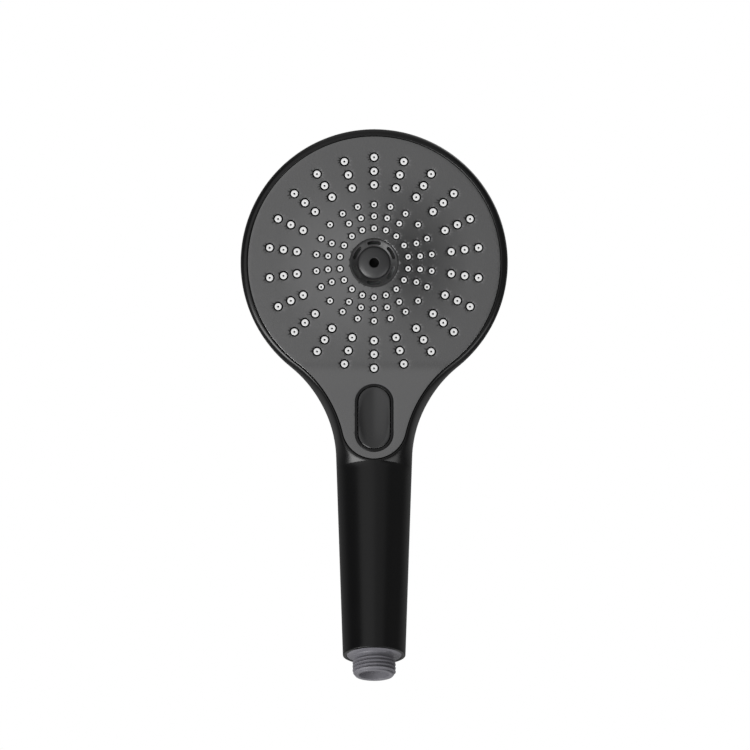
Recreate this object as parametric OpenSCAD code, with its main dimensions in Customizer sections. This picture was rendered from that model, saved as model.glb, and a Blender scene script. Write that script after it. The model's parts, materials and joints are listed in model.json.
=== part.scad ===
// Handheld shower head: a 130 mm spray face bent 18 degrees from its handle, with a thumb
// selector, three spray chambers, a turbine jet in the middle and a G1/2 hose inlet.
// Origin: centre of the inlet's end face. +Z is up, the spray face looks along -Y.

/* [Head] */
// Outer diameter of the round head
head_d = 130; // [126:1:134]
// Height of the spray face's centre above the inlet's end
face_z = 200; // [195:1:205]
// Depth of the dome behind the head's widest line
dome_depth = 22; // [20:1:24]
// Depth of the widest line behind the spray face, on the head
head_edge_depth = 3.5; // [3.5:0.1:4]
// Wall thickness of the housing
shell_wall = 2.2; // [2:0.1:2.4]

/* [Handle] */
// Lean of the handle from the plane of the spray face, in degrees
handle_tilt = 18; // [16:1:20]
// Distance from the handle's axis out to the plane of the neck
neck_front = 15.5; // [15:0.1:16]
// Depth of the handle's back behind the plane of the neck
handle_depth = 30.6; // [30:0.1:31]
// Half of the handle's width 150 mm below the face's centre
grip_half_w = 16.59; // [16:0.1:17]
// Growth of that half width for each millimetre upward
grip_taper = 0.0348; // [0.03:0.0001:0.04]
// Radius of the concave sweep from the head into the handle
neck_sweep_r = 58.5; // [57:0.5:60]
// Wall thickness of the housing at the handle's open end
rim_wall = 1.6; // [1.5:0.1:1.8]

/* [Bend] */
// Height of the crease between face and neck, from the face's centre
bend_v = -56; // [-58:1:-55]
// Radius of the bend between face and neck
bend_r = 50; // [40:1:50]

/* [Face plate] */
// Radius of the plate's round part
plate_r = 61.4; // [61:0.1:61.8]
// Thickness of the plate at its edge
plate_t = 2.2; // [2:0.1:2.2]
// Radius of the plate's concave sweep into the neck
plate_sweep_r = 60.1; // [59:0.1:61]
// Radius of the plate's round lower end
plate_end_r = 15.6; // [15.2:0.1:15.8]
// Height of the centre of that end, from the face's centre
plate_end_v = -79.5; // [-80:0.1:-79]
// Height of the gentle crown round the centre insert
crown_h = 1.4; // [1:0.1:1.5]
// Radius at which the crown has faded out
crown_r = 47; // [40:1:47]

/* [Nozzles] */
// Radius of a large nozzle's tip
big_tip_r = 1.67; // [1.5:0.01:1.7]
// Radius of a small nozzle's tip
small_tip_r = 1.3; // [1.2:0.01:1.4]
// Height of a nozzle's tip above the plate
tip_h = 0.9; // [0.6:0.1:1.2]
// Radius of the water hole in every nozzle
orifice_r = 0.42; // [0.4:0.01:0.45]

/* [Centre insert] */
// Outer radius of the slotted ring
insert_r = 11.75; // [11.5:0.05:11.8]
// Radius of the domed core
core_r = 7.75; // [7.6:0.05:7.8]
// Radius of the hole in the core
core_hole_r = 2.35; // [2.2:0.05:2.4]

/* [Button] */
// Height of the button's centre, from the face's centre
button_v = -75.4; // [-76:0.1:-75]
// Width of the button
button_w = 15.5; // [15:0.1:15.5]
// Length of the button
button_l = 31.4; // [31:0.1:31.5]
// Width of the frame round the button
bezel_w = 18.6; // [18.5:0.1:18.8]
// How far the button travels when it is pressed
button_travel = 3; // [2.5:0.1:3]

/* [Inlet] */
// Radius of the thread's crests, a G1/2 pipe thread
thread_r = 10.45; // [10.4:0.01:10.48]
// Radius of the thread's roots
thread_root_r = 9.32; // [9.3:0.01:9.4]
// Pitch of the thread, 14 to the inch
thread_pitch = 1.814; // [1.814:0.001:1.815]
// Length of the inlet below the handle's open end
inlet_len = 10; // [9.5:0.1:10.5]
// Radius of the water bore
inlet_bore_r = 7.2; // [7:0.05:7.3]
// Radius of the flange that closes the handle's end
flange_r = 13.4; // [13.3:0.05:13.4]

/* [Hidden] */
$fn = 96;
fit = 0.15;            // clearance round a piece that is pushed into another
run = 0.05;            // radial clearance of a running fit

// ---- frame and front surface -------------------------------------------------
head_r = head_d / 2;
face_y = (face_z + bend_v) * tan(handle_tilt) - neck_front / cos(handle_tilt);
bend_top = bend_v + bend_r * tan(handle_tilt / 2);
bend_low = bend_top - bend_r * sin(handle_tilt);
rim_v = inlet_len * cos(handle_tilt) + neck_front * sin(handle_tilt) - face_z;

function ramp(t) = let (u = min(1, max(0, t))) u * u * (3 - 2 * u);
function mix(a, b, t) = a + (b - a) * t;

// slope and place of the front surface at height v from the face's centre
function tilt_at(v) = v >= bend_top ? 0 : v <= bend_low ? handle_tilt : asin((bend_top - v) / bend_r);
function front_y(v) =
  v >= bend_top ? face_y
  : v <= bend_low ? (face_z + v) * tan(handle_tilt) - neck_front / cos(handle_tilt)
  : face_y - bend_r * (1 - cos(tilt_at(v)));
// a point x to the right, on the front at height v, then d deep behind the front
function place(x, v, d) =
  [x, front_y(v) + d * cos(tilt_at(v)), face_z + v - d * sin(tilt_at(v))];

// ---- outlines seen square to the spray face ------------------------------------
// centre of the concave sweep, touching the head's circle and the handle's straight side
sweep_slope = sqrt(1 + grip_taper * grip_taper);
sweep_q = neck_sweep_r * sweep_slope + grip_half_w + 150 * grip_taper;
sweep_reach = head_r + neck_sweep_r;
sweep_b = 2 * grip_taper * sweep_q;
sweep_a = sweep_slope * sweep_slope;
sweep_root = sqrt(sweep_b * sweep_b - 4 * sweep_a * (sweep_q * sweep_q - sweep_reach * sweep_reach));
sweep_v = (-sweep_b - sweep_root) / (2 * sweep_a);
sweep_x = sweep_q + grip_taper * sweep_v;
sweep_angle = atan2(sweep_x, -sweep_v);
grip_top_v = sweep_v + neck_sweep_r * sin(atan(grip_taper));

// half width of the outside, grown by g
function half_width(v, g) =
  v >= -(head_r + g) * cos(sweep_angle) ? sqrt(max(0, pow(head_r + g, 2) - v * v))
  : v >= grip_top_v ? sweep_x - sqrt(pow(neck_sweep_r - g, 2) - pow(v - sweep_v, 2))
  : grip_half_w + g + grip_taper * (v + 150);

// centre of the plate's concave sweep, touching its circle and its round end
plate_reach = plate_r + plate_sweep_r;
plate_end_reach = plate_end_r + plate_sweep_r;
plate_sweep_v =
  (pow(plate_reach, 2) - pow(plate_end_reach, 2) + plate_end_v * plate_end_v) / (2 * plate_end_v);
plate_sweep_x = sqrt(pow(plate_reach, 2) - pow(plate_sweep_v, 2));
plate_angle = atan2(plate_sweep_x, -plate_sweep_v);
plate_turn = atan2(plate_end_v - plate_sweep_v, plate_sweep_x);

// ---- housing -------------------------------------------------------------------
lip_gap = 0.3;
ledge_w = 1.4;
ledge_top = 2.25;
ledge_low = 4.3;
head_rows = 18;
neck_rows = 7;
tip_rows = 6;
grip_rows = 9;
tip_row = head_rows + neck_rows + tip_rows;
last_row = tip_row + grip_rows;
front_cols = 6;
back_cols = 18;
last_col = 2 * front_cols + back_cols;
tip_outer_v = -97;
side_v = -83;

// height of row i on an outline grown by g
function row_v(i, g) =
  i <= head_rows ? (head_r + g) * cos(i / head_rows * (180 - sweep_angle))
  : i <= head_rows + neck_rows
    ? mix(-(head_r + g) * cos(sweep_angle), side_v, (i - head_rows) / neck_rows)
  : i <= tip_row ? mix(side_v, tip_outer_v, (i - head_rows - neck_rows) / tip_rows)
  : mix(tip_outer_v, rim_v, (i - tip_row) / grip_rows);

// the plate's outline grown by g, as [x, v], on row i
function plate_point(i, g) =
  i <= head_rows
    ? let (a = i / head_rows * (180 - plate_angle)) [(plate_r + g) * sin(a), (plate_r + g) * cos(a)]
  : i <= head_rows + neck_rows
    ? let (a = mix(90 - plate_angle, plate_turn, (i - head_rows) / neck_rows))
      [plate_sweep_x - (plate_sweep_r - g) * cos(a), plate_sweep_v + (plate_sweep_r - g) * sin(a)]
  : i <= tip_row
    ? let (a = mix(plate_turn, 90, (i - head_rows - neck_rows) / tip_rows))
      [(plate_end_r + g) * cos(a), plate_end_v - (plate_end_r + g) * sin(a)]
  : [0, row_v(i, 0)];

// depth of the widest line, of the front beyond the plate, and of the back
function edge_depth(v) = mix(head_edge_depth, neck_front, ramp((-v - 25) / 60));
function grip_front(v) = mix(0, neck_front - half_width(rim_v - neck_front * sin(handle_tilt), 0),
  ramp((tip_outer_v - v) / (tip_outer_v - rim_v)));
function back_depth(v, r, edge, inset) =
  v >= 0 ? edge + (head_edge_depth + dome_depth - inset - edge) * sqrt(max(0, 1 - v * v / (r * r)))
  : mix(head_edge_depth + dome_depth, handle_depth, ramp(-v / 80)) - inset;
function wall_at(v) = mix(shell_wall, rim_wall, ramp((tip_outer_v - v) / (tip_outer_v - rim_v)));

// one point of a section: from the lip round the widest line and the back to the other lip
function section_point(j, lip, lip_depth, v, half, edge, back) =
  j < front_cols || j > last_col - front_cols
  ? let (
      side = j < front_cols ? 1 : -1,
      a = 90 * min(j, last_col - j) / front_cols,
      s = sin(a)
    )
    place(side * mix(lip[0], half, s), mix(lip[1], v, s), mix(edge, lip_depth, cos(a)))
  : let (a = 180 * (j - front_cols) / back_cols)
    place(half * cos(a), v, edge + (back - edge) * sin(a));

function outer_point(i, j) =
  let (
    v = row_v(i, 0),
    edge = edge_depth(v),
    half = half_width(v - edge * sin(tilt_at(v)), 0)
  )
  section_point(j, plate_point(i, lip_gap), i <= tip_row ? 0 : grip_front(v), v, half, edge,
    back_depth(v, head_r, edge, 0));

function inner_point(i, j) =
  let (
    w = wall_at(row_v(i, 0)),
    v = row_v(i, -w),
    edge = max(edge_depth(v), ledge_low + 0.4),
    half = half_width(v - edge * sin(tilt_at(v)), -w),
    ledge = plate_point(i, -ledge_w)
  )
  section_point(j, ledge, i <= tip_row ? ledge_low : grip_front(v) + w, v, half, edge,
    back_depth(v, head_r - w, edge, w));

// the closed loop of row i: outside, left lip, inside, right lip
loop_len = 2 * last_col + 6;
function lip_point(i, side, g, d) = let (p = plate_point(i, g)) place(side * p[0], p[1], d);
function row_loop(i) = [
  for (j = [0 : last_col]) outer_point(i, j),
  lip_point(i, -1, lip_gap, ledge_top),
  lip_point(i, -1, -ledge_w, ledge_top),
  for (j = [last_col : -1 : 0]) inner_point(i, j),
  lip_point(i, 1, -ledge_w, ledge_top),
  lip_point(i, 1, lip_gap, ledge_top)
];
// left and right points that lie on the middle plane share one corner
mirror_sum = 3 * last_col + 6;
function inner_slot(j) = 2 * last_col + 3 - j;
function fold_top(k) =
  k <= last_col ? min(k, last_col - k, front_cols)
  : let (r = max(k, mirror_sum - k)) r > inner_slot(0) ? r : max(r, inner_slot(front_cols));
function fold_mid(k) =
  k == last_col ? 0
  : k > last_col && k <= last_col + 3 ? mirror_sum - k
  : k;
function corner(i, k) =
  let (m = k % loop_len)
  i * loop_len + (i == 0 ? fold_top(m) : i >= tip_row ? fold_mid(m) : m);
function strip(i, k) =
  let (a = corner(i, k), b = corner(i, k + 1), c = corner(i + 1, k + 1), d = corner(i + 1, k))
  [[a, b, c], [a, c, d]];
function rim_face(j) =
  let (
    a = corner(last_row, j),
    b = corner(last_row, j + 1),
    c = corner(last_row, inner_slot(j + 1)),
    d = corner(last_row, inner_slot(j))
  )
  [[a, b, c], [a, c, d]];
function real_faces(faces) = [for (f = faces) if (f[0] != f[1] && f[1] != f[2] && f[0] != f[2]) f];

module housing() {
  rows = [for (i = [0 : last_row]) each row_loop(i)];
  faces = concat(
    [for (i = [0 : tip_row - 1]) for (k = [0 : loop_len - 1]) each strip(i, k)],
    [for (i = [tip_row : last_row - 1]) for (k = [0 : last_col - 1]) each strip(i, k)],
    [for (i = [tip_row : last_row - 1]) for (j = [1 : last_col]) each strip(i, inner_slot(j))],
    [for (j = [0 : last_col - 1]) each rim_face(j)]
  );
  color([0.09, 0.09, 0.1])
    polyhedron(rows, real_faces(faces), convexity = 10);
}

// ---- places --------------------------------------------------------------------
// x right, y up, z out of the spray face
module at_face() {
  translate([0, face_y, face_z]) rotate([90, 0, 0]) children();
}
// x right, y up the handle, z out of the neck, at the button's centre
module at_button() {
  translate([0, front_y(button_v), face_z + button_v])
    rotate([90 - handle_tilt, 0, 0]) children();
}
// z up the handle's axis, from the inlet's end
module at_handle() {
  rotate([-handle_tilt, 0, 0]) children();
}
// distance of the button's centre along the handle's axis
button_t = front_y(button_v) * sin(handle_tilt) + (face_z + button_v) * cos(handle_tilt);

module tube(r_out, r_in, z0, z1) {
  difference() {
    translate([0, 0, z0]) cylinder(r = r_out, h = z1 - z0);
    translate([0, 0, z0 - 1]) cylinder(r = r_in, h = z1 - z0 + 2);
  }
}
module rod(r, z0, z1) {
  translate([0, 0, z0]) cylinder(r = r, h = z1 - z0);
}
// upright block with round ends, w wide and l long
module pill(w, l, z0, z1) {
  translate([0, 0, z0]) {
    for (s = [-1, 1]) translate([0, s * (l - w) / 2, 0]) cylinder(r = w / 2, h = z1 - z0);
    translate([-w / 2, -(l - w) / 2, 0]) cube([w, l - w, z1 - z0]);
  }
}
module o_ring(r, wire, z) {
  translate([0, 0, z]) rotate_extrude() translate([r, 0]) circle(r = wire, $fn = 24);
}

// ---- nozzle layout ---------------------------------------------------------------
big_rings = [37.9, 44.5, 51.3];
small_rings = [16.8, 22.6, 28.3];
spokes = 22;
inner_spokes = 18;
// the middle small ring leaves out the spokes next to 49 and 131 degrees from the top
skipped_spokes = [3, 8, 14, 19];
function spoke_xy(r, a) = [r * sin(a), r * cos(a)];
big_spots = [for (r = big_rings) for (n = [0 : spokes - 1]) spoke_xy(r, n * 360 / spokes)];
small_spots = concat(
  [for (n = [0 : inner_spokes - 1]) spoke_xy(small_rings[0], n * 360 / inner_spokes)],
  [for (n = [0 : spokes - 1]) if (len(search(n, skipped_spokes)) == 0)
    spoke_xy(small_rings[1], n * 360 / spokes)],
  [for (n = [0 : spokes - 1]) spoke_xy(small_rings[2], n * 360 / spokes)]
);
function crown(r) = crown_h * pow(max(0, 1 - r / crown_r), 2);

big_hole_r = big_tip_r + 0.65;
small_hole_r = small_tip_r + 0.55;
mat_top = -plate_t;
mat_low = mat_top - 1.2;
screw_r = 1.2;
screw_ring_r = 33.25;
screw_angles = [45, 135, 225, 315];
module at_screws() {
  for (a = screw_angles) rotate([0, 0, a]) translate([screw_ring_r, 0, 0]) children();
}

// ---- face plate -------------------------------------------------------------------
// the plate's outline as an upright block
module plate_plan(z0, z1) {
  edge_x = plate_r * sin(plate_angle);
  edge_v = -plate_r * cos(plate_angle);
  low_x = plate_end_r * cos(plate_turn);
  low_v = plate_end_v - plate_end_r * sin(plate_turn);
  translate([0, 0, z0]) {
    cylinder(r = plate_r, h = z1 - z0);
    translate([0, plate_end_v, 0]) cylinder(r = plate_end_r, h = z1 - z0);
    difference() {
      linear_extrude(z1 - z0)
        polygon([[-edge_x, edge_v], [edge_x, edge_v], [low_x, low_v], [-low_x, low_v]]);
      for (s = [-1, 1])
        translate([s * plate_sweep_x, plate_sweep_v, -1])
          cylinder(r = plate_sweep_r, h = z1 - z0 + 2);
    }
  }
}
crown_steps = 8;
crown_points = [for (i = [0 : crown_steps]) let (r = mix(insert_r, crown_r, i / crown_steps)) [r, crown(r)]];
crown_foot = 1;
module crown_dome() {
  rotate_extrude()
    polygon(concat([[0, -crown_foot], [0, crown(insert_r)]], crown_points, [[crown_r, -crown_foot]]));
}
// side profile of the plate from its top to below its tip, in steps round the bend
bend_steps = 10;
profile_v = concat(
  [head_r],
  [for (n = [0 : bend_steps]) bend_top - bend_r * sin(handle_tilt * n / bend_steps)],
  [tip_outer_v - 20]
);
function profile_point(v, d) =
  [v - d * sin(tilt_at(v)), face_y - front_y(v) - d * cos(tilt_at(v))];
module bent_slab() {
  at_face() rotate([90, 0, 90]) translate([0, 0, -head_r]) linear_extrude(head_d)
    polygon(concat(
      [for (v = profile_v) profile_point(v, 0)],
      [for (n = [len(profile_v) - 1 : -1 : 0]) profile_point(profile_v[n], plate_t)]
    ));
}
module face_plate() {
  color([0.36, 0.36, 0.37])
    difference() {
      union() {
        intersection() {
          at_face() plate_plan(-20, 60);
          bent_slab();
        }
        at_face() crown_dome();
        at_face() at_screws() rod(2.4, mat_low, mat_top + 0.5);
      }
      at_face() {
        rod(insert_r + fit, -head_r, head_r);
        for (p = big_spots) translate([p[0], p[1], 0]) rod(big_hole_r, -10, 10);
        for (p = small_spots) translate([p[0], p[1], 0]) rod(small_hole_r, -10, 10);
        at_screws() rod(screw_r + run, mat_low - 1, mat_top + 1.2);
      }
      at_button() pill(bezel_w + 2 * run, bezel_l + 2 * run, -10, 10);
    }
}

// ---- nozzle mats: one soft piece for each spray chamber -----------------------------
foot_h = 0.3;
module nozzle(p, tip_r, foot_r) {
  top = crown(norm(p)) + tip_h + face_y - front_y(p[1]);
  translate([p[0], p[1], 0]) {
    rod(foot_r, mat_top - 0.2, mat_top + foot_h);
    rod(tip_r, mat_top - 0.1, top);
  }
}
module nozzle_mat(r_in, r_out, spots, tip_r, foot_r) {
  difference() {
    union() {
      tube(r_out, r_in, mat_low, mat_top);
      for (p = spots) nozzle(p, tip_r, foot_r);
    }
    for (p = spots) translate([p[0], p[1], 0]) rod(orifice_r, mat_low - 1, 10);
  }
}
outer_mat_r = [35.9, 56.4];
inner_mat_r = [14.2, 30.7];
module outer_nozzle_mat() {
  color([0.8, 0.8, 0.8]) at_face()
    nozzle_mat(outer_mat_r[0], outer_mat_r[1], big_spots, big_tip_r, big_hole_r - fit);
}
module inner_nozzle_mat() {
  color([0.8, 0.8, 0.8]) at_face()
    nozzle_mat(inner_mat_r[0], inner_mat_r[1], small_spots, small_tip_r, small_hole_r - fit);
}

// ---- centre insert and turbine ---------------------------------------------------------
ring_in_r = core_r + 0.1;
ring_flange_r = 13.2;
ring_rim = 0.7;        // flat edge round the cone
insert_low = -4.6;
recess = 0.8;
jet_slots = 6;
slot_in_r = 8.8;
slot_w = 1.8;
slot_angle = 34;
module jet_ring() {
  flange_top = mat_top - 0.05;
  color([0.12, 0.12, 0.13]) at_face() difference() {
    rotate_extrude() polygon([
      [ring_in_r, insert_low], [ring_flange_r, insert_low], [ring_flange_r, flange_top],
      [insert_r, flange_top], [insert_r, crown(insert_r)], [insert_r - ring_rim, crown(insert_r)],
      [ring_in_r, -recess]
    ]);
    for (n = [0 : jet_slots - 1]) rotate([0, 0, 90 + n * 360 / jet_slots - slot_angle / 2])
      rotate_extrude(angle = slot_angle) translate([slot_in_r, insert_low - 1]) square([slot_w, 10]);
  }
}
dome_h = 1.7;
dome_steps = 8;
core_floor = -2.6;
axle_r = 0.8;
axle_top = -3.6;
module jet_core() {
  color([0.12, 0.12, 0.13]) at_face() difference() {
    rotate_extrude() polygon(concat(
      [[0, insert_low], [core_r, insert_low]],
      [for (n = [0 : dome_steps]) let (a = 90 * n / dome_steps) [core_r * cos(a), dome_h * sin(a) - recess]]
    ));
    rod(core_hole_r, core_floor, 10);
    rod(axle_r, insert_low - 1, axle_top);
  }
}
chamber_low = -8.4;
module turbine_axle() {
  color("silver") at_face() rod(axle_r, chamber_low + 0.1, axle_top);
}
hub_r = 2.2;
hub_low = -7.4;
hub_top = -5;
module thrust_washer() {
  color("goldenrod") at_face() tube(1.9, axle_r + run, hub_top + 0.05, insert_low - 0.05);
}
blades = 8;
blade_t = 0.8;
blade_low = -7.2;
blade_top = -5.2;
band_r = 7.4;
band_t = 0.8;
// half ring that uncovers the slots in turn and so makes the jet pulse
shutter_r = 10.6;
shutter_low = -5.8;
shutter_top = -4.9;
module turbine() {
  color("white") at_face() difference() {
    union() {
      rod(hub_r, hub_low, hub_top);
      for (n = [0 : blades - 1]) rotate([0, 0, n * 360 / blades])
        translate([hub_r - 0.4, -blade_t / 2, blade_low])
          cube([band_r - band_t / 2 - hub_r + 0.4, blade_t, blade_top - blade_low]);
      tube(band_r, band_r - band_t, blade_low, blade_top);
      difference() {
        tube(shutter_r, band_r - band_t / 2, shutter_low, shutter_top);
        translate([-shutter_r - 1, 0, shutter_low - 1])
          cube([2 * shutter_r + 2, shutter_r + 1, shutter_top - shutter_low + 2]);
      }
    }
    rod(axle_r + run, hub_low - 1, hub_top + 1);
  }
}
swirl_r = 12.4;
swirl_top = -7.6;
swirl_holes = 6;
swirl_hole_r = 1.1;
swirl_slant = 35;
module swirl_plate() {
  color([0.75, 0.75, 0.75]) at_face() difference() {
    rod(swirl_r, chamber_low + 0.02, swirl_top);
    for (n = [0 : swirl_holes - 1]) rotate([0, 0, n * 360 / swirl_holes])
      translate([6, 0, (chamber_low + swirl_top) / 2]) rotate([swirl_slant, 0, 0]) rod(swirl_hole_r, -4, 4);
    rod(axle_r, chamber_low - 1, swirl_top + 1);
  }
}

// ---- spray chambers --------------------------------------------------------------------
engine_r = 57.5;
wall_low = -5.4;
jet_chamber_r = 12.5;
// inner and outer radius of the ring walls between the chambers
chamber_walls = [[56, engine_r], [32.5, 34], [jet_chamber_r, 14.2]];
slot_room = 0.8;       // feed slots reach this far past the nozzles' water holes
module feed_slots(r0, r1, count, width) {
  for (n = [0 : count - 1]) rotate([0, 0, n * 360 / count])
    translate([-width / 2, r0 - slot_room, -10]) cube([width, r1 - r0 + 2 * slot_room, 10]);
}
module spray_plate() {
  color([0.7, 0.7, 0.72]) at_face() difference() {
    union() {
      rod(engine_r, wall_low, mat_low);
      for (w = chamber_walls) tube(w[1], w[0], chamber_low, wall_low + 0.1);
      at_screws() rod(2.6, chamber_low, wall_low + 0.1);
    }
    rod(ring_flange_r + fit, insert_low - 0.02, 0);
    rod(jet_chamber_r, -10, 0);
    feed_slots(big_rings[0], big_rings[2], spokes, 2);
    feed_slots(small_rings[1], small_rings[2], spokes, 1.6);
    feed_slots(small_rings[0], small_rings[0], inner_spokes, 1.6);
    at_screws() rod(screw_r + run, -10, 0);
  }
}
plate_back = -10;
duct_w = 3.2;
duct_x = 4.76;
duct_len = 6;
// lower corner of each duct's mouth: to the outer, the inner and the jet chamber
duct_mouths = [[0, -54], [-duct_x, -28], [duct_x, -10]];
module distributor_plate() {
  color([0.7, 0.7, 0.72]) at_face() difference() {
    rod(engine_r, plate_back, chamber_low - 0.02);
    for (d = duct_mouths) translate([d[0] - duct_w / 2, d[1], plate_back - 2]) cube([duct_w, duct_len, 10]);
    at_screws() rod(screw_r + run, plate_back - 2, 0);
  }
}
screw_head_r = 2.3;
screw_head_h = 1.6;
drive_slot = [4, 0.6];
module engine_screws() {
  head_top = plate_back - 0.02;
  color("silver") at_face() at_screws() {
    rod(screw_r, plate_back - 0.1, mat_top + 1);
    difference() {
      rod(screw_head_r, head_top - screw_head_h, head_top);
      translate([-drive_slot[0] / 2, -drive_slot[1] / 2, head_top - 1.5 * screw_head_h])
        cube([drive_slot[0], drive_slot[1], screw_head_h]);
    }
  }
}

// ---- diverter valve under the button -----------------------------------------------------
valve_r = 12;
valve_in_r = 9.4;
valve_low = -24;
seat_z = -19.6;
cup_top = -13.3;
port_r = 1.6;
side_port_r = 1.4;
port_ring_r = duct_x / cos(30);
port_z = -21.9;
port_angles = [90, 210, 330];
seal_r = 2.9;
seal_sunk = 0.6;
tube_z = -neck_front;
tube_r = 7.4;
tube_in_r = 6.2;
spigot_r = tube_r + 1.5;
spigot_end = -22;
tube_stop = -14;
channel_r = 4;
throat_r = 2.4;
gland_wire = 0.45;     // half thickness of the tube's two sealing rings
gland_r = tube_r + 2 * gland_wire + 0.02;
gland_w = 1;
gland_inset = 4;       // from the tube's end to its sealing ring
stem_r = 2.5;
rotor_r = 8.6;
ball_r = 0.95;
ball_z = -17.3;
dimple_ring_r = 9.35;
module at_ports() {
  for (a = port_angles) rotate([0, 0, a]) translate([port_ring_r, 0, 0]) children();
}
// hole along the handle, from y0 down it to y1, at depth z
module down_bore(r, y0, y1, z) {
  translate([0, y0, z]) rotate([90, 0, 0]) cylinder(r = r, h = y0 - y1);
}
module valve_body() {
  gland_y = tube_stop - 0.1 - gland_inset;
  color([0.85, 0.85, 0.85]) at_button() difference() {
    union() {
      rod(valve_r, valve_low, cup_top);
      down_bore(spigot_r, -9, spigot_end, tube_z);
    }
    rod(valve_in_r, seat_z, 0);
    rod(valve_r + fit, cup_top, 0);
    down_bore(channel_r, -valve_in_r - 1, -40, tube_z);
    down_bore(throat_r, -8, -18, tube_z);
    down_bore(tube_r + run, tube_stop, -40, tube_z);
    down_bore(gland_r, gland_y + gland_w / 2, gland_y - gland_w / 2, tube_z);
    at_ports() rod(port_r, port_z, 0);
    at_ports() rod(seal_r + run, seat_z - seal_sunk, 0);
    for (a = port_angles)
      translate([port_ring_r * cos(a), port_ring_r * sin(a) - 0.8, port_z])
        rotate([-90, 0, 0]) cylinder(r = side_port_r, h = 30);
    translate([valve_in_r - 1, 0, ball_z]) rotate([0, 90, 0]) cylinder(r = ball_r + 0.1, h = 2.9);
  }
}
module seat_seals() {
  color([0.15, 0.15, 0.15]) at_button() at_ports() tube(seal_r, 1.8, seat_z - seal_sunk, seat_z + 0.7);
}
// two opposite water holes, which line up with one seal or the next
module rotor_ports() {
  for (a = [90, 270]) rotate([0, 0, a]) translate([port_ring_r, 0, 0]) rod(port_r, -20, -10);
}
disc_low = seat_z + 0.8;
disc_top = -17.8;
module diverter_disc() {
  color([0.93, 0.93, 0.9]) at_button() difference() {
    rod(rotor_r, disc_low, disc_top);
    rotor_ports();
  }
}
teeth = 6;
tooth_in_r = 5.2;
tooth_len = 2;
tooth_half = 1.5;
module ratchet_teeth(z, h, lean) {
  for (n = [0 : teeth - 1]) rotate([0, 0, n * 360 / teeth])
    translate([tooth_in_r, 0, z]) rotate([90, 0, 90]) linear_extrude(tooth_len)
      polygon([[-tooth_half, 0], [tooth_half, 0], [lean * tooth_half, h]]);
}
rotor_top = -16.4;
module ratchet_rotor() {
  color([0.9, 0.85, 0.6]) at_button() difference() {
    union() {
      rod(rotor_r, disc_top + 0.02, rotor_top);
      ratchet_teeth(rotor_top - 0.05, 0.65, 1);
    }
    rod(stem_r + 0.3, -20, -10);
    rotor_ports();
    for (n = [0 : teeth - 1]) rotate([0, 0, n * 360 / teeth])
      translate([dimple_ring_r, 0, 0]) rod(ball_r + 0.1, -20, -10);
  }
}
drive_low = -15;
drive_top = -13.7;
module drive_ring() {
  color([0.8, 0.3, 0.2]) at_button() difference() {
    union() {
      rod(8, drive_low, drive_top);
      mirror([0, 0, 1]) ratchet_teeth(-drive_low - 0.05, 0.6, -1);
    }
    rod(stem_r + 2 * run, -20, -10);
  }
}
// the ball is drawn riding on the rotor's edge, between two dimples
ball_at_r = rotor_r + ball_r + 0.02;
module detent_ball() {
  color("silver") at_button() translate([ball_at_r, 0, ball_z]) sphere(r = ball_r, $fn = 32);
}
module detent_spring() {
  color("silver") at_button() translate([0, 0, ball_z]) rotate([0, 90, 0])
    tube(0.8, 0.5, ball_at_r + 0.83, valve_in_r + 1.85);
}
cap_top = -11.4;
cap_neck_r = 5.4;
cap_neck_top = -7.4;
spring_room_r = 4.6;
stem_gland_r = 3.6;
stem_gland = [-12.9, -12];
module cartridge_cap() {
  color([0.85, 0.85, 0.85]) at_button() difference() {
    union() {
      rod(valve_r, cup_top + 0.02, cap_top);
      rod(cap_neck_r, cap_top - 0.1, cap_neck_top);
    }
    rod(spring_room_r, cap_top, 0);
    rod(stem_r + run, -20, 0);
    rod(stem_gland_r, stem_gland[0], stem_gland[1]);
  }
}
module stem_seal() {
  color([0.1, 0.1, 0.1]) at_button() o_ring(3.07, 0.43, (stem_gland[0] + stem_gland[1]) / 2);
}
module push_stem() {
  color([0.9, 0.9, 0.85]) at_button() rod(stem_r, -14.3, button_roof - 0.02);
}
spring_turns = 4;
spring_r = 3.7;
wire_r = 0.42;
spring_low = cap_top + wire_r + 0.03;
spring_high = -2.9;
wire_sides = 6;
coil_steps = 14;
module return_spring() {
  rings = spring_turns * coil_steps;
  points = [for (i = [0 : rings]) for (s = [0 : wire_sides - 1])
    let (
      a = 360 * i / coil_steps,
      b = 360 * s / wire_sides,
      r = spring_r + wire_r * cos(b)
    )
    [r * cos(a), r * sin(a), mix(spring_low, spring_high, i / rings) + wire_r * sin(b)]];
  faces = concat(
    [[for (s = [0 : wire_sides - 1]) s]],
    [for (i = [0 : rings - 1]) for (s = [0 : wire_sides - 1])
      let (a = i * wire_sides + s, b = i * wire_sides + (s + 1) % wire_sides)
      each [[a, a + wire_sides, b + wire_sides], [a, b + wire_sides, b]]],
    [[for (s = [wire_sides - 1 : -1 : 0]) rings * wire_sides + s]]
  );
  color("silver") at_button() polyhedron(points, faces);
}
button_low = -3.4;
button_top = 0.5;
button_roof = -2.4;    // underside of the button's top wall
button_wall = 1.2;
scoop_floor = -1.25;
scoop_side_r = 18.5;   // curve of the scoop across the button
scoop_long_r = 73.3;   // curve of the scoop along it
module select_button() {
  color([0.12, 0.12, 0.13]) at_button() difference() {
    pill(button_w, button_l, button_low, button_top);
    translate([0, 0, scoop_floor + scoop_long_r]) rotate([0, 90, 0])
      rotate_extrude() translate([scoop_long_r - scoop_side_r, 0]) circle(r = scoop_side_r);
    pill(button_w - 2 * button_wall, button_l - 2 * button_wall, -10, button_roof);
  }
}
bezel_l = button_l + bezel_w - button_w;
bezel_low = -plate_t - 1.2;
bezel_top = 0.5;
bezel_foot = 1;
button_gap = 0.3;
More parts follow.
